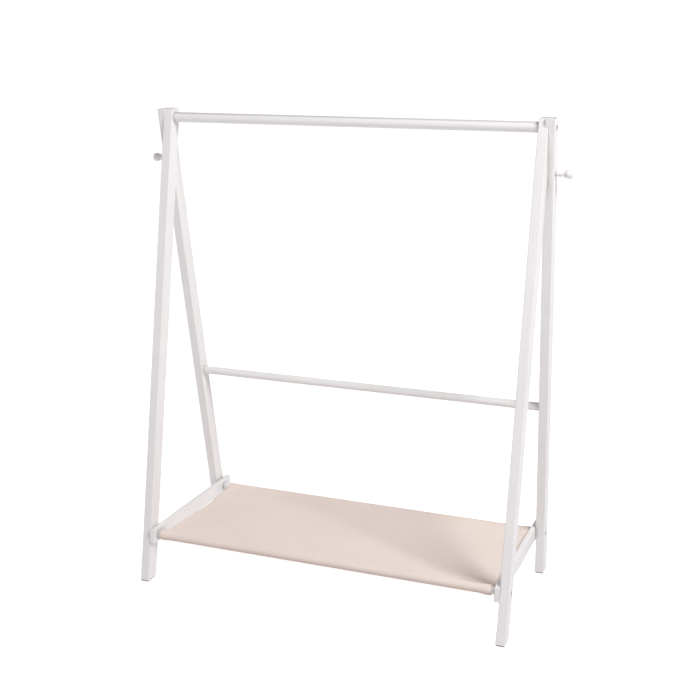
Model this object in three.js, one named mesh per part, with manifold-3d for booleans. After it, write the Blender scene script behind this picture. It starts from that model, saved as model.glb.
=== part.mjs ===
// A child-size clothes rack: two A-frame ends of painted timber, a round hanging rail between
// their tops, a thin crossbar between the rear legs, and a canvas sling shelf near the floor.
// Millimetres, +Z up. X runs along the hanging rail, the front is -Y, and the origin lies on
// the floor under the middle of the rack.
import * as THREE from 'three';
import { mergeVertices } from 'three/addons/utils/BufferGeometryUtils.js';
import Module from 'manifold-3d';

const wasm = await Module();
wasm.setup();

// ---- driving dimensions --------------------------------------------------------------
const GAP = 0.3;                  // clearance between pieces that touch

const FRAME_INNER_X = 480;        // inner face of a front leg, from the middle
const LEG_THICKNESS = 24;         // along X
const LEG_WIDTH = 40;             // across the leg, in the plane of its A-frame
const LEG_EASE = 1.8;             // radius of a leg's eased edges
const LEG_LEAN = 0.18;            // run in Y for each unit of height
const FOOT_SPREAD_Y = 220;        // leg's centre line at the floor, from the middle
const LEG_TOP_Z = 1245;           // level tops of all four legs
const FRONT_SPLAY = 0.003;        // outward lean in X of a front leg
const REAR_SPLAY = 0.0165;        // the same of a rear leg, which laps the front one at the top
const TOP_CORNER_RADIUS = 6;      // of a rear leg's outer top corner

const RAIL_Z = 1222.2;            // axis of the hanging rail and of the top bolts
const RAIL_RADIUS = 13;
const RAIL_LEFT_CHAMFER = 0.6;
const RAIL_RIGHT_CHAMFER = 2.5;   // leaves a dark line where the rail meets the right leg

const CROSSBAR_Z = 500;
const CROSSBAR_RADIUS = 11;
const CROSSBAR_SOCKET = 8;        // depth of the blind hole in each rear leg

const SHELF_Z = 123;              // axis of the dowels and of the shelf bolts
const SHELF_RAIL_Z = 125;         // mid height of the shelf rails
const SHELF_RAIL_THICKNESS = 14;
const SHELF_RAIL_HEIGHT = 38;
const SHELF_RAIL_FRONT_Y = -222;
const SHELF_RAIL_REAR_Y = 232;
const SHELF_RAIL_EASE = 2;
const SHELF_HOUSING = 2;          // how far a shelf rail is let into the front legs
const DOWEL_RADIUS = 10;
const DOWEL_CHAMFER = 1.5;
const DOWEL_Y = 194;              // dowels and shelf bolts, from the middle

const CANVAS_HALF_WIDTH = 457;
const CANVAS_THICKNESS = 1.3;
const CANVAS_SAG = 22;
const CANVAS_STEPS = 20;          // straight runs along the sag

const PEG_Z = 1114;
const PEG_SHAFT_RADIUS = 6.8;
const PEG_BALL_RADIUS = 11.3;
const PEG_BALL_HALF_LENGTH = 10;  // the knob is a little shorter than round
const PEG_COLLAR_RADIUS = 9.6;    // where the shaft flares out to meet the knob
const PEG_GROOVE_RADIUS = 8;      // between the collar and the knob
const PEG_GROOVE_WIDTH = 1.3;
const PEG_LENGTH = 42;
const STUD_RADIUS = 2.2;
const STUD_DEPTH = 15;            // into the leg
const STUD_REACH = 20;            // into the peg

const BOLT_RADIUS = 3;
const TOP_BOLT_HEAD_RADIUS = 7;
const SHELF_BOLT_HEAD_RADIUS = 5.2;
const BOLT_HEAD_HEIGHT = 2.4;
const COUNTERBORE_MARGIN = 0.6;   // round a head, and from its crown to the leg's face
const BOLT_SOCKET_RADIUS = 2;     // across the corners of the hexagon
const BOLT_SOCKET_DEPTH = 1.6;
const INSERT_RADIUS = 5;
const INSERT_RIDGE = 0.5;
const INSERT_LENGTH = 20;
const INSERT_HOLE_LENGTH = 26;

const GLIDE_HEIGHT = 4;
const GLIDE_LENGTH = 38;
const GLIDE_WIDTH = 21.5;

// ---- sizes that follow ---------------------------------------------------------------
const legCentreX = FRAME_INNER_X + LEG_THICKNESS / 2;
const levelWidth = LEG_WIDTH * Math.hypot(1, LEG_LEAN);   // of a leaning leg, along Y
const boltHole = BOLT_RADIUS + GAP;
const shelfRailOuterX = FRAME_INNER_X + SHELF_HOUSING;
const shelfRailInnerX = shelfRailOuterX - SHELF_RAIL_THICKNESS;
const insertHole = INSERT_RADIUS + INSERT_RIDGE + GAP;
const frontInnerX = (z) => FRAME_INNER_X + FRONT_SPLAY * z;
const frontOuterX = (z) => frontInnerX(z) + LEG_THICKNESS;
const rearInnerX = (z) => FRAME_INNER_X + REAR_SPLAY * z;
const rearOuterX = (z) => rearInnerX(z) + LEG_THICKNESS;
const frontLegY = (z) => -FOOT_SPREAD_Y + LEG_LEAN * z;

const paint = new THREE.MeshStandardMaterial({ color: 0xf0eeec, roughness: 0.45, metalness: 0 });
const canvas = new THREE.MeshStandardMaterial({ color: 0xe4d5c8, roughness: 0.95, metalness: 0 });
const steel = new THREE.MeshStandardMaterial({ color: 0xb9bbbf, roughness: 0.3, metalness: 1 });
const zinc = new THREE.MeshStandardMaterial({ color: 0xc9b478, roughness: 0.45, metalness: 1 });
const glide = new THREE.MeshStandardMaterial({ color: 0x9a9592, roughness: 0.8, metalness: 0 });

const rack = new THREE.Group();

// ---- helpers -------------------------------------------------------------------------
function solid(geometry) {
  const bare = geometry.clone();
  bare.deleteAttribute('normal');
  bare.deleteAttribute('uv');
  const merged = mergeVertices(bare, 1e-4);
  return new wasm.Manifold(new wasm.Mesh({
    numProp: 3,
    vertProperties: new Float32Array(merged.attributes.position.array),
    triVerts: new Uint32Array(merged.index.array),
  }));
}

function geometryOf(manifold) {
  const mesh = manifold.getMesh();
  const geometry = new THREE.BufferGeometry();
  geometry.setAttribute('position', new THREE.BufferAttribute(mesh.vertProperties, 3));
  geometry.setIndex(new THREE.BufferAttribute(mesh.triVerts, 1));
  geometry.computeVertexNormals();
  return geometry;
}

function add(name, shape, material) {
  const geometry = shape.isBufferGeometry ? shape : geometryOf(shape);
  const mesh = new THREE.Mesh(geometry, material);
  mesh.name = name;
  rack.add(mesh);
}

// Adds the piece on the right-hand side and its mirror image on the left.
function addPair(name, shape, material) {
  const body = shape.isBufferGeometry ? solid(shape) : shape;
  add(`right_${name}`, body, material);
  add(`left_${name}`, body.mirror([1, 0, 0]), material);
}

function roundedRectangle(width, height, radius) {
  const x = width / 2;
  const y = height / 2;
  const shape = new THREE.Shape();
  shape.moveTo(-x + radius, -y);
  shape.lineTo(x - radius, -y);
  shape.absarc(x - radius, -y + radius, radius, -Math.PI / 2, 0, false);
  shape.lineTo(x, y - radius);
  shape.absarc(x - radius, y - radius, radius, 0, Math.PI / 2, false);
  shape.lineTo(-x + radius, y);
  shape.absarc(-x + radius, y - radius, radius, Math.PI / 2, Math.PI, false);
  shape.lineTo(-x, -y + radius);
  shape.absarc(-x + radius, -y + radius, radius, Math.PI, Math.PI * 1.5, false);
  return shape;
}

// A bar of rounded-rectangle section along +Z, with both ends eased as well.
function easedBar(width, height, length, ease) {
  const endEase = 0.7 * ease;     // less than the corner radius, so no corner closes up
  const bar = new THREE.ExtrudeGeometry(roundedRectangle(width, height, ease), {
    depth: length - 2 * endEase,
    steps: 1,
    curveSegments: 3,
    bevelEnabled: true,
    bevelThickness: endEase,
    bevelSize: endEase,
    bevelOffset: -endEase,
    bevelSegments: 1,
  });
  return bar.translate(0, 0, endEase);
}

function box(x0, x1, y0, y1, z0, z1) {
  const block = new THREE.BoxGeometry(x1 - x0, y1 - y0, z1 - z0);
  return block.translate((x0 + x1) / 2, (y0 + y1) / 2, (z0 + z1) / 2);
}

// A round bar along X from x0 to x1, for drilling.
function drill(radius, x0, x1, y, z) {
  const bit = new THREE.CylinderGeometry(radius, radius, x1 - x0, 28);
  bit.rotateZ(Math.PI / 2);
  return solid(bit.translate((x0 + x1) / 2, y, z));
}

// Turns a closed profile of [radius, x] pairs about the X axis.
function turned(profile, segments) {
  const points = profile.map(([radius, x]) => new THREE.Vector2(radius, x));
  const lathe = new THREE.LatheGeometry(points, segments);
  return lathe.rotateZ(-Math.PI / 2);
}

// A round bar along X with a chamfer and a blind hole for a threaded insert at each end.
function endDrilledBar(radius, halfLength, leftChamfer, rightChamfer, segments) {
  const holeEnd = halfLength - INSERT_HOLE_LENGTH;
  return turned([
    [0, -holeEnd],
    [insertHole, -holeEnd],
    [insertHole, -halfLength],
    [radius - leftChamfer, -halfLength],
    [radius, -halfLength + leftChamfer],
    [radius, halfLength - rightChamfer],
    [radius - rightChamfer, halfLength],
    [insertHole, halfLength],
    [insertHole, holeEnd],
    [0, holeEnd],
  ], segments);
}

// The recess for a bolt head, sunk into a leg's outer face at faceX.
function counterbore(headRadius, faceX, y, z) {
  const depth = BOLT_HEAD_HEIGHT + COUNTERBORE_MARGIN + GAP;
  return drill(headRadius + COUNTERBORE_MARGIN, faceX - depth, faceX + 5, y, z);
}

// ---- legs ----------------------------------------------------------------------------
// A leg before any cut, leaning in Y by `side` (-1 front, +1 rear) and outwards by `splay`.
// It reaches below the floor, and its top is level.
function legBlank(side, splay, grow, ease) {
  const below = 40;
  const width = LEG_THICKNESS + 2 * grow;
  const height = levelWidth + 2 * grow;
  const bar = easedBar(width, height, LEG_TOP_Z + below + grow, ease);
  bar.translate(0, 0, -below);
  bar.applyMatrix4(new THREE.Matrix4().makeShear(0, 0, 0, 0, splay, -side * LEG_LEAN));
  return bar.translate(legCentreX, side * FOOT_SPREAD_Y, 0);
}

const underground = solid(box(400, 600, -400, 400, -200, GLIDE_HEIGHT));
const shelfHousing = solid(box(
  shelfRailInnerX - 20, shelfRailOuterX + GAP,
  -400, 400,
  SHELF_RAIL_Z - SHELF_RAIL_HEIGHT / 2 - GAP, SHELF_RAIL_Z + SHELF_RAIL_HEIGHT / 2 + GAP,
));
// What a rounding of the outer top corner takes off a rear leg.
const topCorner = (() => {
  const cornerX = rearOuterX(LEG_TOP_Z) - TOP_CORNER_RADIUS;
  const cornerZ = LEG_TOP_Z - TOP_CORNER_RADIUS;
  const round = new THREE.CylinderGeometry(TOP_CORNER_RADIUS, TOP_CORNER_RADIUS, 300, 32);
  round.translate(cornerX, 0, cornerZ);
  const block = box(cornerX, cornerX + 20, -100, 100, cornerZ, cornerZ + 20);
  return solid(block).subtract(solid(round));
})();
const topBoltHole = drill(boltHole, 460, 560, 0, RAIL_Z);
const shelfBoltHole = (side) => drill(boltHole, 440, 560, side * DOWEL_Y, SHELF_Z);

const frontLeg = solid(legBlank(-1, FRONT_SPLAY, 0, LEG_EASE))
  .subtract(underground)
  .subtract(shelfHousing)
  .subtract(topBoltHole)
  .subtract(shelfBoltHole(-1))
  .subtract(counterbore(SHELF_BOLT_HEAD_RADIUS, frontOuterX(SHELF_Z), -DOWEL_Y, SHELF_Z));

const crossbarEndX = rearInnerX(CROSSBAR_Z) + CROSSBAR_SOCKET;
const crossbarY = -frontLegY(CROSSBAR_Z);
const pegY = -frontLegY(PEG_Z);

const rearLeg = solid(legBlank(1, REAR_SPLAY, 0, LEG_EASE))
  .subtract(underground)
  .subtract(shelfHousing)
  .subtract(solid(legBlank(-1, FRONT_SPLAY, GAP, GAP)))
  .subtract(topCorner)
  .subtract(topBoltHole)
  .subtract(shelfBoltHole(1))
  .subtract(counterbore(TOP_BOLT_HEAD_RADIUS, rearOuterX(RAIL_Z), 0, RAIL_Z))
  .subtract(counterbore(SHELF_BOLT_HEAD_RADIUS, rearOuterX(SHELF_Z), DOWEL_Y, SHELF_Z))
  .subtract(drill(CROSSBAR_RADIUS + GAP, 460, crossbarEndX + GAP, crossbarY, CROSSBAR_Z))
  .subtract(drill(STUD_RADIUS + GAP, rearOuterX(PEG_Z) - STUD_DEPTH - 1, 560, pegY, PEG_Z));

addPair('front_leg', frontLeg, paint);
addPair('rear_leg', rearLeg, paint);

// ---- hanging rail and crossbar -------------------------------------------------------
const railEndX = frontInnerX(RAIL_Z - RAIL_RADIUS) - GAP;
const rail = endDrilledBar(RAIL_RADIUS, railEndX, RAIL_LEFT_CHAMFER, RAIL_RIGHT_CHAMFER, 48);
add('hanging_rail', rail.translate(0, 0, RAIL_Z), paint);

const crossbar = turned([
  [0, -crossbarEndX],
  [CROSSBAR_RADIUS - 1, -crossbarEndX],
  [CROSSBAR_RADIUS, 1 - crossbarEndX],
  [CROSSBAR_RADIUS, crossbarEndX - 1],
  [CROSSBAR_RADIUS - 1, crossbarEndX],
  [0, crossbarEndX],
], 40);
add('rear_crossbar', crossbar.translate(0, crossbarY, CROSSBAR_Z), paint);

// ---- shelf rails and dowels ----------------------------------------------------------
const shelfRailLength = SHELF_RAIL_REAR_Y - SHELF_RAIL_FRONT_Y;
const shelfRailBar = easedBar(
  SHELF_RAIL_THICKNESS, SHELF_RAIL_HEIGHT, shelfRailLength, SHELF_RAIL_EASE,
);
shelfRailBar.rotateX(Math.PI / 2);
shelfRailBar.translate(
  shelfRailOuterX - SHELF_RAIL_THICKNESS / 2, SHELF_RAIL_REAR_Y, SHELF_RAIL_Z,
);
addPair(
  'shelf_rail',
  solid(shelfRailBar).subtract(shelfBoltHole(-1)).subtract(shelfBoltHole(1)),
  paint,
);

for (const [place, side] of [['front', -1], ['rear', 1]]) {
  const halfLength = shelfRailInnerX - GAP;
  const dowel = endDrilledBar(DOWEL_RADIUS, halfLength, DOWEL_CHAMFER, DOWEL_CHAMFER, 36);
  add(`${place}_shelf_dowel`, dowel.translate(0, side * DOWEL_Y, SHELF_Z), paint);
}

// ---- canvas shelf --------------------------------------------------------------------
// A sleeve round each dowel and a sheet that hangs between them, drawn in the Y-Z plane
// and run along X.
const alongX = new THREE.Matrix4().makeBasis(
  new THREE.Vector3(0, 1, 0), new THREE.Vector3(0, 0, 1), new THREE.Vector3(1, 0, 0),
);

function runAlongX(shape) {
  const run = new THREE.ExtrudeGeometry(shape, {
    depth: 2 * CANVAS_HALF_WIDTH, steps: 1, bevelEnabled: false, curveSegments: 20,
  });
  run.translate(0, 0, -CANVAS_HALF_WIDTH);
  return solid(run.applyMatrix4(alongX));
}

const sleeveInner = DOWEL_RADIUS + GAP;
const sleeveMid = sleeveInner + CANVAS_THICKNESS / 2;

function sleeve(side) {
  const ring = new THREE.Shape();
  ring.absarc(side * DOWEL_Y, SHELF_Z, sleeveInner + CANVAS_THICKNESS, 0, Math.PI * 2, false);
  const hole = new THREE.Path();
  hole.absarc(side * DOWEL_Y, SHELF_Z, sleeveInner, 0, Math.PI * 2, true);
  ring.holes.push(hole);
  return runAlongX(ring);
}

// The sheet leaves each sleeve along its tangent, so the sag sets the tangent's angle.
const tangent = Math.atan(2 * CANVAS_SAG / DOWEL_Y);
const edgeY = DOWEL_Y - sleeveMid * Math.sin(tangent);
const edgeZ = SHELF_Z + sleeveMid * Math.cos(tangent);
const sheetZ = (y) => edgeZ - CANVAS_SAG * (1 - (y / edgeY) ** 2);

function sheetPoint(step, offset) {
  const y = edgeY * (2 * step / CANVAS_STEPS - 1);
  const slope = 2 * CANVAS_SAG * y / edgeY ** 2;
  const length = Math.hypot(1, slope);
  return new THREE.Vector2(y - offset * slope / length, sheetZ(y) + offset / length);
}

const steps = Array.from({ length: CANVAS_STEPS + 1 }, (_, i) => i);
const sheet = new THREE.Shape([
  ...steps.map((i) => sheetPoint(i, -CANVAS_THICKNESS / 2)),
  ...steps.map((i) => sheetPoint(CANVAS_STEPS - i, CANVAS_THICKNESS / 2)),
]);
const sling = runAlongX(sheet)
  .subtract(drill(sleeveInner, -500, 500, -DOWEL_Y, SHELF_Z))
  .subtract(drill(sleeveInner, -500, 500, DOWEL_Y, SHELF_Z))
  .add(sleeve(-1))
  .add(sleeve(1));
add('shelf_canvas', sling, canvas);

// ---- pegs on the rear legs -----------------------------------------------------------
const pegBase = rearOuterX(PEG_Z) + GAP + REAR_SPLAY * PEG_SHAFT_RADIUS;
const ballX = PEG_LENGTH - PEG_BALL_HALF_LENGTH;
const grooveAngle = Math.asin(PEG_GROOVE_RADIUS / PEG_BALL_RADIUS);
const collarX = ballX - PEG_BALL_HALF_LENGTH * Math.cos(grooveAngle) - PEG_GROOVE_WIDTH;
const ballSteps = 8;
const ball = Array.from({ length: ballSteps }, (_, i) => {
  const angle = grooveAngle + (Math.PI - grooveAngle) * i / ballSteps;
  return [PEG_BALL_RADIUS * Math.sin(angle), ballX - PEG_BALL_HALF_LENGTH * Math.cos(angle)];
});
const peg = turned([
  [0, STUD_REACH + 1],
  [STUD_RADIUS + GAP, STUD_REACH + 1],
  [STUD_RADIUS + GAP, 0],
  [PEG_SHAFT_RADIUS - 0.8, 0],
  [PEG_SHAFT_RADIUS, 0.8],
  [PEG_SHAFT_RADIUS, collarX - 4],
  [PEG_SHAFT_RADIUS + 0.9, collarX - 2.4],
  [PEG_COLLAR_RADIUS, collarX],
  [PEG_GROOVE_RADIUS, collarX],
  ...ball,
  [0, PEG_LENGTH],
], 28);
addPair('peg', peg.translate(pegBase, pegY, PEG_Z), paint);

const stud = new THREE.CylinderGeometry(STUD_RADIUS, STUD_RADIUS, STUD_DEPTH + STUD_REACH, 16);
stud.rotateZ(Math.PI / 2);
stud.translate(pegBase + (STUD_REACH - STUD_DEPTH) / 2, pegY, PEG_Z);
addPair('peg_stud', stud, steel);

// ---- bolts and threaded inserts ------------------------------------------------------
// The head's underside is at x = 0 and the shank runs towards -X.
function bolt(length, headRadius) {
  const body = turned([
    [0, -length],
    [BOLT_RADIUS - 0.6, -length],
    [BOLT_RADIUS, 0.6 - length],
    [BOLT_RADIUS, 0],
    [headRadius, 0],
    [headRadius, BOLT_HEAD_HEIGHT * 0.45],
    [headRadius * 0.85, BOLT_HEAD_HEIGHT * 0.82],
    [headRadius * 0.62, BOLT_HEAD_HEIGHT],
    [0, BOLT_HEAD_HEIGHT],
  ], 24);
  const key = new THREE.CylinderGeometry(BOLT_SOCKET_RADIUS, BOLT_SOCKET_RADIUS, 4, 6);
  key.rotateZ(Math.PI / 2);
  key.translate(BOLT_HEAD_HEIGHT - BOLT_SOCKET_DEPTH + 2, 0, 0);
  return solid(body).subtract(solid(key));
}

// Outer end at x = 0, running towards -X, with shallow ridges that grip the wood.
function threadedInsert() {
  const pitch = 6;
  const ridges = [];
  for (let x = -INSERT_LENGTH + pitch; x < -pitch; x += pitch) {
    ridges.push([INSERT_RADIUS, x - 1], [INSERT_RADIUS + INSERT_RIDGE, x], [INSERT_RADIUS, x + 1]);
  }
  return turned([
    [boltHole, 0],
    [boltHole, -INSERT_LENGTH],
    [INSERT_RADIUS, -INSERT_LENGTH],
    ...ridges,
    [INSERT_RADIUS, 0],
    [boltHole, 0],
  ], 16);
}

// A bolt from headX inwards, ending inside an insert that is flush with the bar at barX.
function addFixing(name, headX, barX, y, z, headRadius) {
  const length = headX - barX + INSERT_LENGTH - 2;
  addPair(`${name}_bolt`, bolt(length, headRadius).translate([headX, y, z]), steel);
  addPair(`${name}_insert`, threadedInsert().translate(barX, y, z), zinc);
}

const headSeat = BOLT_HEAD_HEIGHT + COUNTERBORE_MARGIN;   // from the leg's face
addFixing(
  'top', rearOuterX(RAIL_Z) - headSeat, railEndX, 0, RAIL_Z, TOP_BOLT_HEAD_RADIUS,
);
addFixing(
  'shelf_front', frontOuterX(SHELF_Z) - headSeat, shelfRailInnerX - GAP,
  -DOWEL_Y, SHELF_Z, SHELF_BOLT_HEAD_RADIUS,
);
addFixing(
  'shelf_rear', rearOuterX(SHELF_Z) - headSeat, shelfRailInnerX - GAP,
  DOWEL_Y, SHELF_Z, SHELF_BOLT_HEAD_RADIUS,
);

// ---- glides under the feet -----------------------------------------------------------
for (const [place, side] of [['front', -1], ['rear', 1]]) {
  const pad = easedBar(GLIDE_WIDTH, GLIDE_LENGTH, GLIDE_HEIGHT - GAP, 1);
  addPair(`${place}_glide`, pad.translate(legCentreX, side * FOOT_SPREAD_Y, 0), glide);
}

export default rack;
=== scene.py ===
"""Looks for the A-frame clothes rack: painted wood, canvas sling shelf, studio light, camera."""

import math

import bpy
from mathutils import Matrix, Vector, noise


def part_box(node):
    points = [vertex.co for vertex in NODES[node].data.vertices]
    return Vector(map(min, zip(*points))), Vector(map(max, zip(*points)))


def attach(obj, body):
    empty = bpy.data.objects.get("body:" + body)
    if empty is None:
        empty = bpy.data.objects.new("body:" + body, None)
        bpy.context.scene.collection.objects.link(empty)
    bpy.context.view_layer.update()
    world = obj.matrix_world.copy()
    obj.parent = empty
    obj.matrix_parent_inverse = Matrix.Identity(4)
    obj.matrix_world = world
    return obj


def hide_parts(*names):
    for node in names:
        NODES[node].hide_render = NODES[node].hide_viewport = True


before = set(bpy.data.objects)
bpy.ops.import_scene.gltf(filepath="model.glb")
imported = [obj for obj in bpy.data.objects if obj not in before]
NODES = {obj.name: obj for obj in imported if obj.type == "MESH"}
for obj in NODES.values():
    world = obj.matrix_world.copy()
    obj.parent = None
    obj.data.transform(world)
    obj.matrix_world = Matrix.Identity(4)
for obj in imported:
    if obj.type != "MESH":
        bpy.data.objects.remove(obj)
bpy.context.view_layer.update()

ROOT = "root"
MM = 0.001

# ---------------------------------------------------------------- camera

CAMERA_AT = (1.0766, -2.7753, 1.4117)
CAMERA_YAW = math.radians(21.039)
CAMERA_PITCH = math.radians(14.594)
CAMERA_ROLL = math.radians(0.177)
CAMERA_LENS = 60.63
CAMERA_SENSOR = 36.0
CAMERA_REACH = 60.0


def make_camera():
    """The camera stands to the right of the rack and a little above its hanging rail."""
    ahead = Vector((
        -math.sin(CAMERA_YAW) * math.cos(CAMERA_PITCH),
        math.cos(CAMERA_YAW) * math.cos(CAMERA_PITCH),
        -math.sin(CAMERA_PITCH),
    ))
    level = Vector((math.cos(CAMERA_YAW), math.sin(CAMERA_YAW), 0.0))
    above = level.cross(ahead)
    right = level * math.cos(CAMERA_ROLL) + above * math.sin(CAMERA_ROLL)
    up = above * math.cos(CAMERA_ROLL) - level * math.sin(CAMERA_ROLL)
    data = bpy.data.cameras.new("camera")
    data.lens = CAMERA_LENS
    data.sensor_width = CAMERA_SENSOR
    data.clip_end = CAMERA_REACH
    camera = bpy.data.objects.new("camera", data)
    camera.matrix_world = Matrix((right, up, -ahead)).transposed().to_4x4()
    camera.location = CAMERA_AT
    bpy.context.scene.collection.objects.link(camera)
    bpy.context.scene.camera = camera


# ---------------------------------------------------------------- light

WHITE = (1, 1, 1, 1)
BACKDROP_GLOW = 1.1
FLOOR_GLOW = 0.65
FLOOR_GREY = (0.80, 0.80, 0.80, 1)
FLOOR_ROUGHNESS = 0.9
FLOOR_HALF = 14.0

# how bright the surround is everywhere, and what it adds towards each side
SKY_TINT = (0.992, 0.964, 0.986, 1)
SKY_EVEN = 0.10
SKY_RIGHT = 0.02
SKY_FRONT = 0.61
SKY_BEHIND = 0.94
SKY_ABOVE = 0.06
SKY_BELOW = 0.76

KEY_AT = (2.708, -1.381, 3.986)
KEY_AIM = (0.45, -0.13, 0.30)
KEY_SIZE = (1.45, 1.45)
KEY_WATTS = 150.0


def make_key_light():
    """One soft box, high to the front right, that throws the leg's soft shadow on the canvas."""
    data = bpy.data.lights.new("key", "AREA")
    data.shape = "RECTANGLE"
    data.size, data.size_y = KEY_SIZE
    data.energy = KEY_WATTS
    lamp = bpy.data.objects.new("key", data)
    lamp.location = KEY_AT
    lamp.rotation_euler = (Vector(KEY_AIM) - Vector(KEY_AT)).to_track_quat("-Z", "Y").to_euler()
    bpy.context.scene.collection.objects.link(lamp)


def make_world():
    """A pale studio surround that lights the rack from all sides and shows as plain white."""
    world = bpy.data.worlds.new("surround")
    bpy.context.scene.world = world
    world.use_nodes = True
    tree = world.node_tree
    tree.nodes.clear()
    link = tree.links.new
    where = tree.nodes.new("ShaderNodeTexCoord")
    axes = tree.nodes.new("ShaderNodeSeparateXYZ")
    link(where.outputs["Generated"], axes.inputs[0])
    glow = SKY_EVEN
    for axis, sign, gain in (
        ("X", 1.0, SKY_RIGHT),
        ("Y", -1.0, SKY_FRONT),
        ("Y", 1.0, SKY_BEHIND),
        ("Z", 1.0, SKY_ABOVE),
        ("Z", -1.0, SKY_BELOW),
    ):
        facing = math_node(tree, "MULTIPLY", axes.outputs[axis], sign)
        facing = math_node(tree, "MAXIMUM", facing, 0.0)
        glow = math_node(tree, "MULTIPLY_ADD", facing, gain, glow)
    lighting = tree.nodes.new("ShaderNodeBackground")
    lighting.inputs["Color"].default_value = SKY_TINT
    link(glow, lighting.inputs["Strength"])
    backdrop = tree.nodes.new("ShaderNodeBackground")
    backdrop.inputs["Color"].default_value = WHITE
    backdrop.inputs["Strength"].default_value = BACKDROP_GLOW
    path = tree.nodes.new("ShaderNodeLightPath")
    mix = tree.nodes.new("ShaderNodeMixShader")
    link(path.outputs["Is Camera Ray"], mix.inputs[0])
    link(lighting.outputs[0], mix.inputs[1])
    link(backdrop.outputs[0], mix.inputs[2])
    out = tree.nodes.new("ShaderNodeOutputWorld")
    link(mix.outputs[0], out.inputs["Surface"])


def make_floor():
    """A plain pale floor, bright enough to read as white."""
    half = FLOOR_HALF
    mesh = bpy.data.meshes.new("floor")
    corners = [(-half, -half, 0), (half, -half, 0), (half, half, 0), (-half, half, 0)]
    mesh.from_pydata(corners, [], [(0, 1, 2, 3)])
    floor = bpy.data.objects.new("floor", mesh)
    bpy.context.scene.collection.objects.link(floor)
    material = new_material("floor_pale")
    surface = Surface(material)
    surface.set("Base Color", FLOOR_GREY)
    surface.set("Roughness", FLOOR_ROUGHNESS)
    surface.set("Emission Color", WHITE)
    surface.set("Emission Strength", FLOOR_GLOW)
    mesh.materials.append(material)
    floor.visible_diffuse = False
    floor.visible_glossy = False
    floor.visible_shadow = False


# ---------------------------------------------------------------- node helpers

def new_material(name):
    """A material with an empty node tree."""
    material = bpy.data.materials.new(name)
    material.use_nodes = True
    material.node_tree.nodes.clear()
    return material


class Surface:
    """A material's Principled shader with its output already wired."""

    def __init__(self, material):
        self.tree = material.node_tree
        self.shader = self.tree.nodes.new("ShaderNodeBsdfPrincipled")
        out = self.tree.nodes.new("ShaderNodeOutputMaterial")
        self.tree.links.new(self.shader.outputs[0], out.inputs["Surface"])

    def set(self, socket, value):
        self.shader.inputs[socket].default_value = value

    def link(self, source, socket):
        self.tree.links.new(source, self.shader.inputs[socket])


def feed(tree, value, socket):
    """Links a socket to socket, or sets it to a plain value."""
    if isinstance(value, bpy.types.NodeSocket):
        tree.links.new(value, socket)
    else:
        socket.default_value = value


def math_node(tree, operation, *values):
    node = tree.nodes.new("ShaderNodeMath")
    node.operation = operation
    for value, socket in zip(values, node.inputs):
        feed(tree, value, socket)
    return node.outputs[0]


def remap(tree, value, low, high, out_low, out_high):
    node = tree.nodes.new("ShaderNodeMapRange")
    for given, socket in zip((value, low, high, out_low, out_high), node.inputs):
        feed(tree, given, socket)
    return node.outputs[0]


def blend_colours(tree, factor, first, second):
    node = tree.nodes.new("ShaderNodeMix")
    node.data_type = "RGBA"
    feed(tree, factor, node.inputs[0])
    feed(tree, first, node.inputs[6])
    feed(tree, second, node.inputs[7])
    return node.outputs[2]


def stretched(tree, vector, scale, turn=(0.0, 0.0, 0.0)):
    """The vector turned so that one axis runs along the bar, then scaled."""
    node = tree.nodes.new("ShaderNodeMapping")
    tree.links.new(vector, node.inputs["Vector"])
    node.inputs["Rotation"].default_value = turn
    node.inputs["Scale"].default_value = scale
    return node.outputs[0]


def noise_node(tree, vector, scale=1.0, detail=2.0, roughness=0.5):
    node = tree.nodes.new("ShaderNodeTexNoise")
    tree.links.new(vector, node.inputs["Vector"])
    node.inputs["Scale"].default_value = scale
    node.inputs["Detail"].default_value = detail
    node.inputs["Roughness"].default_value = roughness
    return node.outputs[0]


def bump_node(tree, height, strength, distance, normal=None):
    node = tree.nodes.new("ShaderNodeBump")
    node.inputs["Strength"].default_value = strength
    node.inputs["Distance"].default_value = distance
    tree.links.new(height, node.inputs["Height"])
    if normal is not None:
        tree.links.new(normal, node.inputs["Normal"])
    return node.outputs[0]


def object_space(tree):
    return tree.nodes.new("ShaderNodeTexCoord").outputs["Object"]


def edge_mask(tree, radius):
    """Near 1 on the arrises of a piece and 0 on its flats."""
    bevel = tree.nodes.new("ShaderNodeBevel")
    bevel.samples = 4
    bevel.inputs["Radius"].default_value = radius
    geometry = tree.nodes.new("ShaderNodeNewGeometry")
    product = tree.nodes.new("ShaderNodeVectorMath")
    product.operation = "DOT_PRODUCT"
    tree.links.new(bevel.outputs[0], product.inputs[0])
    tree.links.new(geometry.outputs["True Normal"], product.inputs[1])
    return remap(tree, product.outputs["Value"], 0.995, 0.90, 0.0, 1.0)


def openness(tree, reach):
    """1 on an open surface, falling towards 0 in crevices narrower than reach."""
    node = tree.nodes.new("ShaderNodeAmbientOcclusion")
    node.samples = 6
    node.inputs["Distance"].default_value = reach
    return node.outputs["AO"]


def upness(tree):
    """The z part of the surface's direction: 1 facing up, -1 facing down."""
    geometry = tree.nodes.new("ShaderNodeNewGeometry")
    axes = tree.nodes.new("ShaderNodeSeparateXYZ")
    tree.links.new(geometry.outputs["Normal"], axes.inputs[0])
    return axes.outputs["Z"]


# ---------------------------------------------------------------- materials

PAINT = (0.840, 0.826, 0.818, 1)
PAINT_SHADE = (0.788, 0.770, 0.759, 1)
PAINT_THIN = (0.80, 0.745, 0.715, 1)
# painted shade: the grey put into crevices
PAINT_CREVICE_SHADE = (0.30, 0.27, 0.25, 1)
# painted shade: the grey put on surfaces that face up
PAINT_TOP_SHADE = (0.30, 0.29, 0.28, 1)


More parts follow.
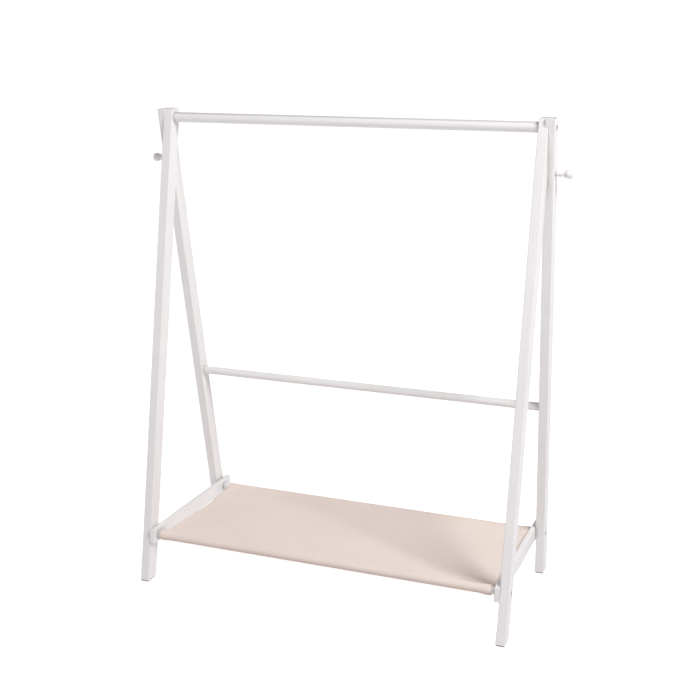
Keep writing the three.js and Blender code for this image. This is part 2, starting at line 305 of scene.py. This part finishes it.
def painted_wood(name, turn, top_shade=0.0):
    """White satin paint over pine: brush lines and a trace of grain along the bar, and paint
    thinner at its edges.
    It also carries painted shade: greyer in its crevices, and darker by the given amount where it
    faces straight up."""
    material = new_material(name)
    surface = Surface(material)
    tree = surface.tree
    place = object_space(tree)
    along = stretched(tree, place, (1.0, 1.0, 1.0), turn)
    grain = noise_node(tree, stretched(tree, along, (260.0, 260.0, 4.0)), 1.0, 3.0, 0.55)
    brush = noise_node(tree, stretched(tree, along, (900.0, 900.0, 9.0)), 1.0, 2.0, 0.6)
    clouds = noise_node(tree, place, 9.0, 2.0, 0.5)
    orange_peel = noise_node(tree, place, 700.0, 1.0, 0.5)
    specks = noise_node(tree, place, 170.0, 2.0, 0.5)
    worn = math_node(
        tree, "MULTIPLY", edge_mask(tree, 0.0022), remap(tree, clouds, 0.42, 0.66, 0.15, 0.85)
    )
    tone = math_node(tree, "MULTIPLY_ADD", grain, 0.45, math_node(tree, "MULTIPLY", clouds, 0.55))
    shade = remap(tree, tone, 0.34, 0.66, 0.0, 0.75)
    colour = blend_colours(tree, shade, PAINT, PAINT_SHADE)
    colour = blend_colours(tree, math_node(tree, "MULTIPLY", worn, 0.5), colour, PAINT_THIN)
    knots = remap(tree, specks, 0.73, 0.80, 0.0, 0.35)
    colour = blend_colours(tree, knots, colour, PAINT_THIN)
    # painted shade: crevices greyed where ambient occlusion finds them closed in
    crevice_shade = remap(tree, openness(tree, 0.025), 0.25, 0.80, 0.62, 0.0)
    colour = blend_colours(tree, crevice_shade, colour, PAINT_CREVICE_SHADE)
    # painted shade: darkens faces turned up, such as the leg tops and the hanging rail's top
    if top_shade:
        top_shade_mask = remap(tree, upness(tree), 0.62, 0.92, 0.0, top_shade)
        colour = blend_colours(tree, top_shade_mask, colour, PAINT_TOP_SHADE)
    surface.link(colour, "Base Color")
    rough = math_node(tree, "MULTIPLY_ADD", brush, 0.16, 0.34)
    rough = math_node(tree, "MULTIPLY_ADD", worn, 0.12, rough)
    surface.link(rough, "Roughness")
    surface.set("IOR", 1.47)
    surface.set("Specular IOR Level", 0.42)
    relief = math_node(tree, "MULTIPLY_ADD", grain, 0.7, math_node(tree, "MULTIPLY", brush, 0.3))
    normal = bump_node(tree, relief, 0.35, 0.0002)
    normal = bump_node(tree, orange_peel, 0.12, 0.0001, normal)
    surface.link(normal, "Normal")
    return material


STEEL = ((0.42, 0.41, 0.40, 1), (0.26, 0.25, 0.24, 1))
STEEL_ROUGHNESS = (0.34, 0.48)
STEEL_LINES = (300.0, 2500.0, 2500.0)
BRASS = ((0.78, 0.60, 0.30, 1), (0.55, 0.40, 0.18, 1))
BRASS_ROUGHNESS = (0.22, 0.38)
BRASS_LINES = (2500.0, 300.0, 300.0)
SCRATCH_LINES = (2500.0, 300.0, 2500.0)


def cut_metal(name, colours, roughness, lathe_lines):
    """Plated or turned metal with fine lathe lines, faint stains and small scratches."""
    material = new_material(name)
    surface = Surface(material)
    tree = surface.tree
    place = object_space(tree)
    lines = noise_node(tree, stretched(tree, place, lathe_lines), 1.0, 2.0, 0.6)
    stains = noise_node(tree, place, 160.0, 3.0, 0.6)
    scratches = noise_node(tree, stretched(tree, place, SCRATCH_LINES), 1.0, 1.0, 0.5)
    tone = math_node(tree, "MULTIPLY_ADD", lines, 0.4, math_node(tree, "MULTIPLY", stains, 0.6))
    shade = remap(tree, tone, 0.35, 0.65, 0.0, 1.0)
    surface.link(blend_colours(tree, shade, *colours), "Base Color")
    surface.set("Metallic", 1.0)
    rough = remap(tree, tone, 0.3, 0.7, *roughness)
    rough = math_node(tree, "ADD", rough, remap(tree, scratches, 0.62, 0.72, 0.0, 0.14))
    surface.link(rough, "Roughness")
    relief = math_node(tree, "ADD", lines, scratches)
    surface.link(bump_node(tree, relief, 0.25, 0.00005), "Normal")
    return material


GLIDE_LIGHT = (0.36, 0.35, 0.34, 1)
GLIDE_DARK = (0.29, 0.28, 0.27, 1)
GLIDE_MARK = (0.46, 0.45, 0.44, 1)
SCUFF_LINES = (1900.0, 240.0, 1900.0)


def glide_plastic(name):
    """Grey moulded plastic with a fine spark-eroded texture and scuffs from the floor."""
    material = new_material(name)
    surface = Surface(material)
    tree = surface.tree
    place = object_space(tree)
    texture = noise_node(tree, place, 1500.0, 2.0, 0.5)
    flow = noise_node(tree, place, 60.0, 3.0, 0.6)
    scuffs = noise_node(tree, stretched(tree, place, SCUFF_LINES), 1.0, 2.0, 0.6)
    shade = remap(tree, flow, 0.3, 0.7, 0.0, 1.0)
    colour = blend_colours(tree, shade, GLIDE_LIGHT, GLIDE_DARK)
    marks = remap(tree, scuffs, 0.60, 0.72, 0.0, 0.6)
    surface.link(blend_colours(tree, marks, colour, GLIDE_MARK), "Base Color")
    surface.link(remap(tree, scuffs, 0.3, 0.7, 0.48, 0.68), "Roughness")
    surface.link(bump_node(tree, texture, 0.5, 0.0001), "Normal")
    return material


CANVAS_LIGHT = (0.866, 0.758, 0.690, 1)
CANVAS_DARK = (0.760, 0.645, 0.568, 1)
CANVAS_SLUB = (0.900, 0.800, 0.745, 1)
# painted shade colour for the canvas's undersides and crevices
CANVAS_PAINTED_SHADE = (0.50, 0.385, 0.315, 1)
THREAD_PITCH = 0.0011
THREAD_DRIFT = 0.0004
SLUB_ACROSS = (900.0, 18.0, 1.0)
SLUB_ALONG = (18.0, 900.0, 1.0)
CLOTH_MAP = "cloth"


def woven_canvas(name):
    """Natural cotton canvas in plain weave, with uneven threads, slubs and a soft nap."""
    material = new_material(name)
    surface = Surface(material)
    tree = surface.tree
    flat = tree.nodes.new("ShaderNodeUVMap")
    flat.uv_map = CLOTH_MAP
    cloth = flat.outputs[0]
    wander = noise_node(tree, cloth, 60.0, 2.0, 0.5)
    axes = tree.nodes.new("ShaderNodeSeparateXYZ")
    tree.links.new(cloth, axes.inputs[0])
    drift = remap(tree, wander, 0.0, 1.0, -THREAD_DRIFT, THREAD_DRIFT)
    turn = math.pi / THREAD_PITCH
    across = math_node(tree, "MULTIPLY", math_node(tree, "ADD", axes.outputs["X"], drift), turn)
    along = math_node(tree, "MULTIPLY", math_node(tree, "ADD", axes.outputs["Y"], drift), turn)
    warp = math_node(tree, "ABSOLUTE", math_node(tree, "SINE", across))
    weft = math_node(tree, "ABSOLUTE", math_node(tree, "SINE", along))
    cos_across = math_node(tree, "COSINE", across)
    cos_along = math_node(tree, "COSINE", along)
    over = math_node(tree, "MULTIPLY", cos_across, cos_along)
    over = remap(tree, over, -0.5, 0.5, 0.0, 1.0)
    height = tree.nodes.new("ShaderNodeMix")
    height.data_type = "FLOAT"
    feed(tree, over, height.inputs[0])
    feed(tree, warp, height.inputs[2])
    feed(tree, weft, height.inputs[3])
    threads = height.outputs[0]
    slub_warp = noise_node(tree, stretched(tree, cloth, SLUB_ACROSS), 1.0, 2.0, 0.6)
    slub_weft = noise_node(tree, stretched(tree, cloth, SLUB_ALONG), 1.0, 2.0, 0.6)
    slubs = math_node(tree, "MAXIMUM", slub_warp, slub_weft)
    patches = noise_node(tree, cloth, 5.0, 3.0, 0.55)
    gaps = remap(tree, threads, 0.05, 0.6, 0.55, 0.0)
    colour = blend_colours(tree, gaps, CANVAS_LIGHT, CANVAS_DARK)
    colour = blend_colours(tree, remap(tree, slubs, 0.55, 0.75, 0.0, 0.7), colour, CANVAS_SLUB)
    colour = blend_colours(tree, remap(tree, patches, 0.40, 0.70, 0.0, 0.22), colour, CANVAS_DARK)
    # painted shade: darker on faces turned down, such as the rolls' undersides, and in crevices
    under = remap(tree, upness(tree), 0.45, -0.75, 0.0, 0.62)
    colour = blend_colours(tree, under, colour, CANVAS_PAINTED_SHADE)
    crevice_shade = remap(tree, openness(tree, 0.012), 0.2, 0.75, 0.5, 0.0)
    colour = blend_colours(tree, crevice_shade, colour, CANVAS_PAINTED_SHADE)
    surface.link(colour, "Base Color")
    surface.link(remap(tree, slubs, 0.4, 0.7, 0.94, 0.80), "Roughness")
    surface.set("Specular IOR Level", 0.2)
    surface.set("Sheen Weight", 0.15)
    surface.set("Sheen Roughness", 0.5)
    normal = bump_node(tree, threads, 0.7, 0.0003)
    normal = bump_node(tree, slubs, 0.4, 0.0003, normal)
    surface.link(normal, "Normal")
    return material


SEWING_LIGHT = (0.84, 0.76, 0.69, 1)
SEWING_DARK = (0.72, 0.62, 0.54, 1)
SEWING_TWIST = 3000.0


def sewing_thread(name):
    """Matt cotton thread with its twist."""
    material = new_material(name)
    surface = Surface(material)
    tree = surface.tree
    place = object_space(tree)
    twist = noise_node(tree, stretched(tree, place, (SEWING_TWIST,) * 3), 1.0, 2.0, 0.5)
    shade = remap(tree, twist, 0.3, 0.7, 0.0, 1.0)
    surface.link(blend_colours(tree, shade, SEWING_LIGHT, SEWING_DARK), "Base Color")
    surface.link(remap(tree, twist, 0.3, 0.7, 0.7, 0.85), "Roughness")
    surface.link(bump_node(tree, twist, 0.5, 0.0001), "Normal")
    return material


# ---------------------------------------------------------------- CAD pieces

LEG_LEAN = 0.18
# how much painted shade darkens the leg tops and the hanging rail's top
LEG_TOP_SHADE = 0.85
RAIL_TOP_SHADE = 0.6
WELD_DISTANCE = 0.00002
CREASE_ANGLE = math.radians(50.0)
FLAT_WEIGHT = 90


def edge_smoothing():
    """A modifier group that joins facets' corners and shades them smooth up to CREASE_ANGLE."""
    group = bpy.data.node_groups.new("smooth_facets", "GeometryNodeTree")
    group.interface.new_socket("Geometry", in_out="INPUT", socket_type="NodeSocketGeometry")
    group.interface.new_socket("Geometry", in_out="OUTPUT", socket_type="NodeSocketGeometry")
    add = group.nodes.new
    start = add("NodeGroupInput")
    end = add("NodeGroupOutput")
    merge = add("GeometryNodeMergeByDistance")
    merge.inputs["Distance"].default_value = WELD_DISTANCE
    faces = add("GeometryNodeSetShadeSmooth")
    faces.domain = "FACE"
    angle = add("GeometryNodeInputMeshEdgeAngle")
    sharp = add("FunctionNodeCompare")
    sharp.operation = "GREATER_THAN"
    sharp.inputs[1].default_value = CREASE_ANGLE
    soft = add("FunctionNodeCompare")
    soft.operation = "LESS_EQUAL"
    soft.inputs[1].default_value = CREASE_ANGLE
    creases = add("GeometryNodeSetShadeSmooth")
    creases.domain = "EDGE"
    creases.inputs["Shade Smooth"].default_value = False
    curves = add("GeometryNodeSetShadeSmooth")
    curves.domain = "EDGE"
    curves.inputs["Shade Smooth"].default_value = True
    link = group.links.new
    link(start.outputs[0], merge.inputs["Geometry"])
    link(merge.outputs[0], faces.inputs["Geometry"])
    link(faces.outputs[0], curves.inputs["Geometry"])
    link(angle.outputs["Unsigned Angle"], sharp.inputs[0])
    link(angle.outputs["Unsigned Angle"], soft.inputs[0])
    link(soft.outputs[0], curves.inputs["Selection"])
    link(curves.outputs[0], creases.inputs["Geometry"])
    link(sharp.outputs[0], creases.inputs["Selection"])
    link(creases.outputs[0], end.inputs[0])
    return group


def dress(names, material, group):
    """Gives CAD nodes their material and smooth shading."""
    for name in names:
        node = NODES[name]
        for place in range(len(node.material_slots)):
            node.material_slots[place].material = material
        smooth = node.modifiers.new("smooth", "NODES")
        smooth.node_group = group
        weighted = node.modifiers.new("weighted", "WEIGHTED_NORMAL")
        weighted.keep_sharp = True
        weighted.weight = FLAT_WEIGHT


def both(name):
    return ["left_" + name, "right_" + name]


def dress_frame():
    """Paint on all the timber, steel bolts and studs, brass inserts and plastic glides."""
    group = edge_smoothing()
    lean = math.atan(LEG_LEAN)
    front_paint = painted_wood("paint_front_legs", (lean, 0.0, 0.0), LEG_TOP_SHADE)
    dress(both("front_leg"), front_paint, group)
    rear_paint = painted_wood("paint_rear_legs", (-lean, 0.0, 0.0), LEG_TOP_SHADE)
    dress(both("rear_leg"), rear_paint, group)
    across = (0.0, math.pi / 2, 0.0)
    dress(["hanging_rail"], painted_wood("paint_hanging_rail", across, RAIL_TOP_SHADE), group)
    bars = ["rear_crossbar", "front_shelf_dowel", "rear_shelf_dowel", *both("peg")]
    dress(bars, painted_wood("paint_rails", across), group)
    deep = (math.pi / 2, 0.0, 0.0)
    dress(both("shelf_rail"), painted_wood("paint_shelf_rails", deep), group)
    steel = cut_metal("zinc_steel", STEEL, STEEL_ROUGHNESS, STEEL_LINES)
    bolts = both("top_bolt") + both("shelf_front_bolt") + both("shelf_rear_bolt")
    dress(both("peg_stud") + bolts, steel, group)
    brass = cut_metal("turned_brass", BRASS, BRASS_ROUGHNESS, BRASS_LINES)
    inserts = both("top_insert") + both("shelf_front_insert") + both("shelf_rear_insert")
    dress(inserts, brass, group)
    dress(both("front_glide") + both("rear_glide"), glide_plastic("glide_plastic"), group)


# ---------------------------------------------------------------- canvas sling

CLOTH_THICKNESS = 1.2 * MM
LAYER_STEP = 1.55 * MM
SLEEVE_CLEARANCE = 0.95 * MM
SLEEVE_TILT = math.radians(32.0)
SLEEVE_DROP = 9.0 * MM
SAG_LEFT = 4.0 * MM
SAG_RIGHT = 9.0 * MM

# half the cloth's width, how far forward the sag leans at its left end, and what it gains on
# the way to the middle and to the right end
CLOTH_HALF = 0.46
LEAN_LEFT = -0.8
LEAN_GAINS = (0.86, 0.24)

HOLLOW_DEPTH = 5.0 * MM
HOLLOW_AT = (0.325, -0.075)
HOLLOW_REACH = (0.115, 0.105)

SEAM_FROM_DOWEL = 24.0 * MM
LAP = 13.0 * MM
HEM = 14.0 * MM
HEM_EASE = 16.0 * MM

# how the cloth departs from a true sleeve, edge and sheet
LEFT_BOW = 1.0 * MM
RIGHT_BOW = 1.5 * MM
EDGE_WANDER = 0.5 * MM
WRAP_SLACK = 0.35 * MM
ROLL_LOOSE = 0.30 * MM
BROAD_WAVE = 1.6 * MM
MIDDLE_WAVE = 0.7 * MM
FINE_WAVE = 0.14 * MM
PUCKER = 0.30 * MM
PUCKER_REACH = 9.0 * MM

# mesh steps along and across the cloth
ROLL_STEPS = 28
WRAP_STEPS = 6
LAP_STEPS = 5
SHEET_STEPS = 84
ACROSS_STEPS = 170
FOLD_STEPS = 6
HEM_STEPS = 4
ROLL_POINTS = LAP_STEPS + WRAP_STEPS + ROLL_STEPS

STITCH_LENGTH = 3.4 * MM
STITCH_PITCH = 4.8 * MM
STITCH_RADIUS = 0.34 * MM
STITCH_SINK = 0.30 * MM
STITCH_ARCH = 0.42 * MM
STITCH_RINGS = 5
STITCH_CORNERS = 6
HEM_STITCH_INSET = 3.0 * MM
SEAM_STITCH_FIRST = 2.5 * MM
SEAM_STITCH_LAST = 3.0 * MM

# where the cloth ends at the left and right, at each dowel: it hangs a little askew
FRONT_ENDS = (-459.0 * MM, 455.0 * MM)
REAR_ENDS = (-447.0 * MM, 462.0 * MM)


def dowel_line(name):
    """(y, z, radius) of a shelf dowel."""
    low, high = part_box(name)
    return (low.y + high.y) / 2, (low.z + high.z) / 2, (high.z - low.z) / 2


FRONT_Y, DOWEL_Z, DOWEL_RADIUS = dowel_line("front_shelf_dowel")
REAR_Y = dowel_line("rear_shelf_dowel")[0]
SPAN = REAR_Y - FRONT_Y


def smooth_step(t):
    """0 below 0, 1 above 1, and an S-curve between."""
    t = min(1.0, max(0.0, t))
    return t * t * (3.0 - 2.0 * t)


def noise_at(x, y, z):
    """Fixed smooth noise between about -1 and 1, the same in every run."""
    return noise.noise(Vector((x, y, z)))


def ripple(x, y, t):
    """Unevenness of the stretched sheet: broad waves, long creases and puckers at the seams."""
    hold = math.sin(math.pi * t) ** 0.7 if 0.0 < t < 1.0 else 0.0
    broad = BROAD_WAVE * noise_at(x * 3.1 + 4.0, y * 6.0, 1.7)
    middle = MIDDLE_WAVE * noise_at(x * 8.0, y * 21.0 + 2.0, 5.2)
    fine = FINE_WAVE * noise_at(x * 38.0, y * 60.0, 9.1)
    seam = min(t, 1.0 - t) * SPAN - SEAM_FROM_DOWEL
    pucker = PUCKER * noise_at(x * 95.0, 3.3, 2.0) * math.exp(-((seam / PUCKER_REACH) ** 2))
    return (broad + middle + fine) * hold + pucker


def sag_shape(x):
    """(sag, forward lean) of the section at x: deeper and further forward towards the right."""
    place = x / CLOTH_HALF
    sag = SAG_LEFT + (SAG_RIGHT - SAG_LEFT) * smooth_step((place + 1.0) / 1.6)
    left_gain = LEAN_GAINS[0] * smooth_step((place + 1.0) / 0.9)
    right_gain = LEAN_GAINS[1] * smooth_step((place - 0.1) / 0.9)
    return sag, LEAN_LEFT + left_gain + right_gain


def sleeve_drop(distance):
    """How far the sheet has dropped at this distance from where it leaves a roll."""
    return SLEEVE_DROP * (1.0 - math.exp(-math.tan(SLEEVE_TILT) * distance / SLEEVE_DROP))


def hollow(x, y):
    """The slack hollow near the front right corner."""
    across = (x - HOLLOW_AT[0]) / HOLLOW_REACH[0]
    along = (y - HOLLOW_AT[1]) / HOLLOW_REACH[1]
    return HOLLOW_DEPTH * math.exp(-0.5 * (across * across + along * along))


def roll_side(x, radius, sheet, drop, side):
    """The sleeve on one dowel: from its lap's end to where the sheet leaves the roll.

    sheet is measured from the roll, y away from the dowel and z up from its axis.
    """
    start = sheet[0]
    leave = math.atan2(start[1], start[0])
    run = 0.0
    under = []
    for (y0, z0), (y1, z1) in zip(sheet, sheet[1:]):
        step = math.hypot(y1 - y0, z1 - z0)
        run += step
        normal = ((z1 - z0) / step, -(y1 - y0) / step)
        under.append((run, y1 + normal[0] * drop, z1 + normal[1] * drop))

    def lap_point(distance):
        for (r0, y0, z0), (r1, y1, z1) in zip(under, under[1:]):
            if r1 >= distance:
                f = (distance - r0) / (r1 - r0)
                return y0 + (y1 - y0) * f, z0 + (z1 - z0) * f
        return under[-1][1:]

    points = []
    for i in range(LAP_STEPS + 1):
        points.append(lap_point(SEAM_FROM_DOWEL + LAP * (1.0 - i / LAP_STEPS)))
    seam_y, seam_z = points[-1]
    reach = math.hypot(seam_y, seam_z)
    touch = math.atan2(seam_z, seam_y) - math.acos(radius / reach)
    touch_y, touch_z = radius * math.cos(touch), radius * math.sin(touch)
    for i in range(1, WRAP_STEPS):
        f = i / WRAP_STEPS
        slack = WRAP_SLACK * math.sin(math.pi * f)
        points.append((seam_y + (touch_y - seam_y) * f, seam_z + (touch_z - seam_z) * f - slack))
    sweep = 2.0 * math.pi - leave + touch
    for i in range(ROLL_STEPS):
        f = i / ROLL_STEPS
        angle = touch - sweep * f
        bulge = max(0.0, noise_at(x * 26.0, angle * 1.3, side * 7.0))
        loose = ROLL_LOOSE * bulge * math.sin(math.pi * f)
        points.append(((radius + loose) * math.cos(angle), (radius + loose) * math.sin(angle)))
    return points


def section(x, hem):
    """The cloth's middle line at x: (y, z) points from the front lap's end to the rear lap's."""
    radius = DOWEL_RADIUS + SLEEVE_CLEARANCE + LAYER_STEP * hem
    drop = LAYER_STEP * (1.0 + 2.0 * hem)
    sag, forward = sag_shape(x)
    y_a = FRONT_Y + radius * math.sin(SLEEVE_TILT)
    y_b = REAR_Y - radius * math.sin(SLEEVE_TILT)
    top = DOWEL_Z + radius * math.cos(SLEEVE_TILT)
    sheet = []
    for i in range(SHEET_STEPS + 1):
        f = i / SHEET_STEPS
        t = 0.35 * f + 0.65 * smooth_step(f)
        y = y_a + (y_b - y_a) * t
        dip = sleeve_drop(y - y_a) + sleeve_drop(y_b - y) - SLEEVE_DROP
        dip += sag * 4.0 * t * (1.0 - t) * (1.0 + forward * (1.0 - 2.0 * t))
        dip += hollow(x, y) * math.sin(math.pi * t) ** 0.5 if 0 < t < 1 else 0.0
        sheet.append((y, top - dip + ripple(x, y, t)))
    front = [(y - FRONT_Y, z - DOWEL_Z) for y, z in sheet]
    rear = [(REAR_Y - y, z - DOWEL_Z) for y, z in reversed(sheet)]
    points = [(FRONT_Y + y, DOWEL_Z + z) for y, z in roll_side(x, radius, front, drop, 1.0)]
    points += sheet
    back = roll_side(x, radius, rear, drop, 2.0)
    points += [(REAR_Y - y, DOWEL_Z + z) for y, z in reversed(back)]
    return points


def across_path(width):
    """Places across the cloth as (distance from the left edge, layers below the face)."""
    turn = LAYER_STEP / 2
    side = [(HEM - (HEM - turn) * i / HEM_STEPS, 1.0) for i in range(HEM_STEPS)]
    for i in range(FOLD_STEPS + 1):
        angle = math.pi * i / FOLD_STEPS
        side.append((turn * (1.0 - math.sin(angle)), 0.5 + 0.5 * math.cos(angle)))
    steps = [i / ACROSS_STEPS for i in range(1, ACROSS_STEPS)]
    middle = [(turn + (width - 2 * turn) * f, 0.0) for f in steps]
    other = [(width - s, layer) for s, layer in reversed(side)]
    return side + middle + other


def sling_grid():
    """Points, face normals, and flat coordinates of the cloth, as [across][along] arrays."""
    nominal = (
        (FRONT_ENDS[0] + REAR_ENDS[0]) / 2,
        (FRONT_ENDS[1] + REAR_ENDS[1]) / 2,
    )
    width = nominal[1] - nominal[0]
    path = across_path(width)
    grid, normals, flat = [], [], []
    run_across = 0.0
    before = None
    for s, layer in path:
        edge = min(s, width - s)
        hem = 1.0 if edge <= HEM else 1.0 - smooth_step((edge - HEM) / HEM_EASE)
        line = section(nominal[0] + s, hem)
        if before is not None:
            run_across += math.hypot(s - before[0], (layer - before[1]) * LAYER_STEP)
        before = (s, layer)
        points, ups, places = [], [], []
        run = 0.0
        for i, (y, z) in enumerate(line):
            y0, z0 = line[max(0, i - 1)]
            y1, z1 = line[min(len(line) - 1, i + 1)]
            size = math.hypot(y1 - y0, z1 - z0)
            up = (-(z1 - z0) / size, (y1 - y0) / size)
            if i:
                run += math.hypot(y - line[i - 1][0], z - line[i - 1][1])
            depth = (y - FRONT_Y) / SPAN
            left = FRONT_ENDS[0] + (REAR_ENDS[0] - FRONT_ENDS[0]) * depth
            right = FRONT_ENDS[1] + (REAR_ENDS[1] - FRONT_ENDS[1]) * depth
            inside = min(1.0, max(0.0, depth))
            left += LEFT_BOW * math.sin(math.pi * inside * inside)
            left += EDGE_WANDER * noise_at(depth * 9.0, 2.0, 4.0)
            right -= RIGHT_BOW * math.sin(math.pi * inside)
            right -= EDGE_WANDER * noise_at(depth * 9.0, 7.0, 4.0)
            if edge <= HEM:
                x = left + s if s < width / 2 else right - (width - s)
            else:
                x = left + HEM + (right - left - 2 * HEM) * (s - HEM) / (width - 2 * HEM)
            inward = layer * LAYER_STEP
            points.append(Vector((x, y - up[0] * inward, z - up[1] * inward)))
            ups.append(Vector((0.0, up[0], up[1])))
            places.append((run_across, run))
        grid.append(points)
        normals.append(ups)
        flat.append(places)
    return path, grid, normals, flat


def mesh_object(name, points, faces, material):
    """A smooth-shaded object made of these points and faces."""
    mesh = bpy.data.meshes.new(name)
    mesh.from_pydata([tuple(p) for p in points], [], faces)
    mesh.polygons.foreach_set("use_smooth", [True] * len(mesh.polygons))
    mesh.materials.append(material)
    mesh.update()
    piece = bpy.data.objects.new(name, mesh)
    bpy.context.scene.collection.objects.link(piece)
    return piece


def make_cloth(grid, flat, material):
    """The whole cut cloth as one sheet: shelf, both sleeves, laps and folded side hems."""
    rows, columns = len(grid), len(grid[0])
    points = [p for line in grid for p in line]
    faces = []
    for i in range(rows - 1):
        for j in range(columns - 1):
            a = i * columns + j
            faces.append((a, a + columns, a + columns + 1, a + 1))
    cloth = mesh_object("canvas_sling", points, faces, material)
    places = [place for line in flat for place in line]
    layer = cloth.data.uv_layers.new(name=CLOTH_MAP)
    for corner, loop in zip(layer.data, cloth.data.loops):
        corner.uv = places[loop.vertex_index]
    thick = cloth.modifiers.new("thickness", "SOLIDIFY")
    thick.thickness = CLOTH_THICKNESS
    thick.offset = 0.0
    thick.use_even_offset = True
    return cloth


def along_line(points, ups, pitch):
    """Evenly spaced (point, direction, normal) along a line of the grid."""
    found = []
    next_at, run = pitch / 2, 0.0
    for (p0, n0), (p1, n1) in zip(zip(points, ups), zip(points[1:], ups[1:])):
        step = (p1 - p0).length
        while step > 0 and run + step >= next_at:
            f = (next_at - run) / step
            found.append((p0.lerp(p1, f), (p1 - p0).normalized(), n0.lerp(n1, f).normalized()))
            next_at += pitch
        run += step
    return found


def add_stitch(points, faces, at, direction, normal):
    """One stitch: a short thread that dips into the cloth at both ends."""
    rings, corners = STITCH_RINGS, STITCH_CORNERS
    base = len(points)
    sideways = direction.cross(normal).normalized()
    for i in range(rings):
        f = i / (rings - 1)
        arch = math.sin(math.pi * f)
        lift = CLOTH_THICKNESS / 2 - STITCH_SINK + STITCH_ARCH * arch
        centre = at + direction * (STITCH_LENGTH * (f - 0.5)) + normal * lift
        radius = STITCH_RADIUS * (0.55 + 0.45 * arch)
        for k in range(corners):
            angle = 2.0 * math.pi * k / corners
            offset = sideways * math.cos(angle) + normal * math.sin(angle)
            points.append(centre + offset * radius)
    for i in range(rings - 1):
        for k in range(corners):
            a, b = base + i * corners + k, base + i * corners + (k + 1) % corners
            faces.append((a, b, b + corners, a + corners))
    faces.append(tuple(base + k for k in reversed(range(corners))))
    faces.append(tuple(base + (rings - 1) * corners + k for k in range(corners)))


def sew(points, faces, line, ups):
    """A row of stitches along a line on the cloth, on the side that ups point to."""
    for at, direction, normal in along_line(line, ups, STITCH_PITCH):
        add_stitch(points, faces, at, direction, normal)


def sheet_row(lines, grid, normals, distance, end):
    """The line across the sheet at this distance from the front roll (end 1) or rear one (-1)."""
    row, ups = [], []
    for i in lines:
        sheet = grid[i][ROLL_POINTS:-ROLL_POINTS][::end]
        lift = normals[i][ROLL_POINTS:-ROLL_POINTS][::end]
        run = 0.0
        for k in range(len(sheet) - 1):
            step = (sheet[k + 1] - sheet[k]).length
            if run + step >= distance:
                f = (distance - run) / step
                row.append(sheet[k].lerp(sheet[k + 1], f))
                ups.append(lift[k].lerp(lift[k + 1], f))
                break
            run += step
    return row, ups


def lap_column(distance, end):
    """The grid column of the lap that lies under the sheet at this distance from the roll."""
    column = round(LAP_STEPS * (SEAM_FROM_DOWEL + LAP - distance) / LAP)
    column = min(LAP_STEPS - 1, max(1, column))
    return column if end == 1 else -1 - column


def make_stitches(path, grid, normals, material):
    """Lockstitch seams: one row along each side hem and two along each sleeve."""
    points, faces = [], []
    width = path[-1][0] + path[0][0]
    lines = [i for i, (s, layer) in enumerate(path) if layer == 0.0]
    lap = LAP_STEPS + WRAP_STEPS
    for place in (HEM - HEM_STITCH_INSET, width - HEM + HEM_STITCH_INSET):
        i = min(lines, key=lambda line: abs(path[line][0] - place))
        sew(points, faces, grid[i][lap:-lap], normals[i][lap:-lap])
    seams = (SEAM_FROM_DOWEL + SEAM_STITCH_FIRST, SEAM_FROM_DOWEL + LAP - SEAM_STITCH_LAST)
    for distance in seams:
        for end in (1, -1):
            sew(points, faces, *sheet_row(lines, grid, normals, distance, end))
            column = lap_column(distance, end)
            row = [grid[i][column] for i in lines]
            ups = [normals[i][column] for i in lines]
            sew(points, faces, row, ups)
    return mesh_object("sling_stitches", points, faces, material)


def make_sling():
    """The canvas sling and its seams, in place of the CAD cloth."""
    path, grid, normals, flat = sling_grid()
    cloth = make_cloth(grid, flat, woven_canvas("canvas_weave"))
    stitches = make_stitches(path, grid, normals, sewing_thread("cotton_thread"))
    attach(cloth, ROOT)
    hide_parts("shelf_canvas")
    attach(stitches, ROOT)


# ---------------------------------------------------------------- scene

make_camera()
make_world()
make_key_light()
make_floor()
dress_frame()
make_sling()

view_settings = bpy.context.scene.view_settings
view_settings.view_transform = "Standard"
view_settings.look = "None"
view_settings.exposure = 0.0
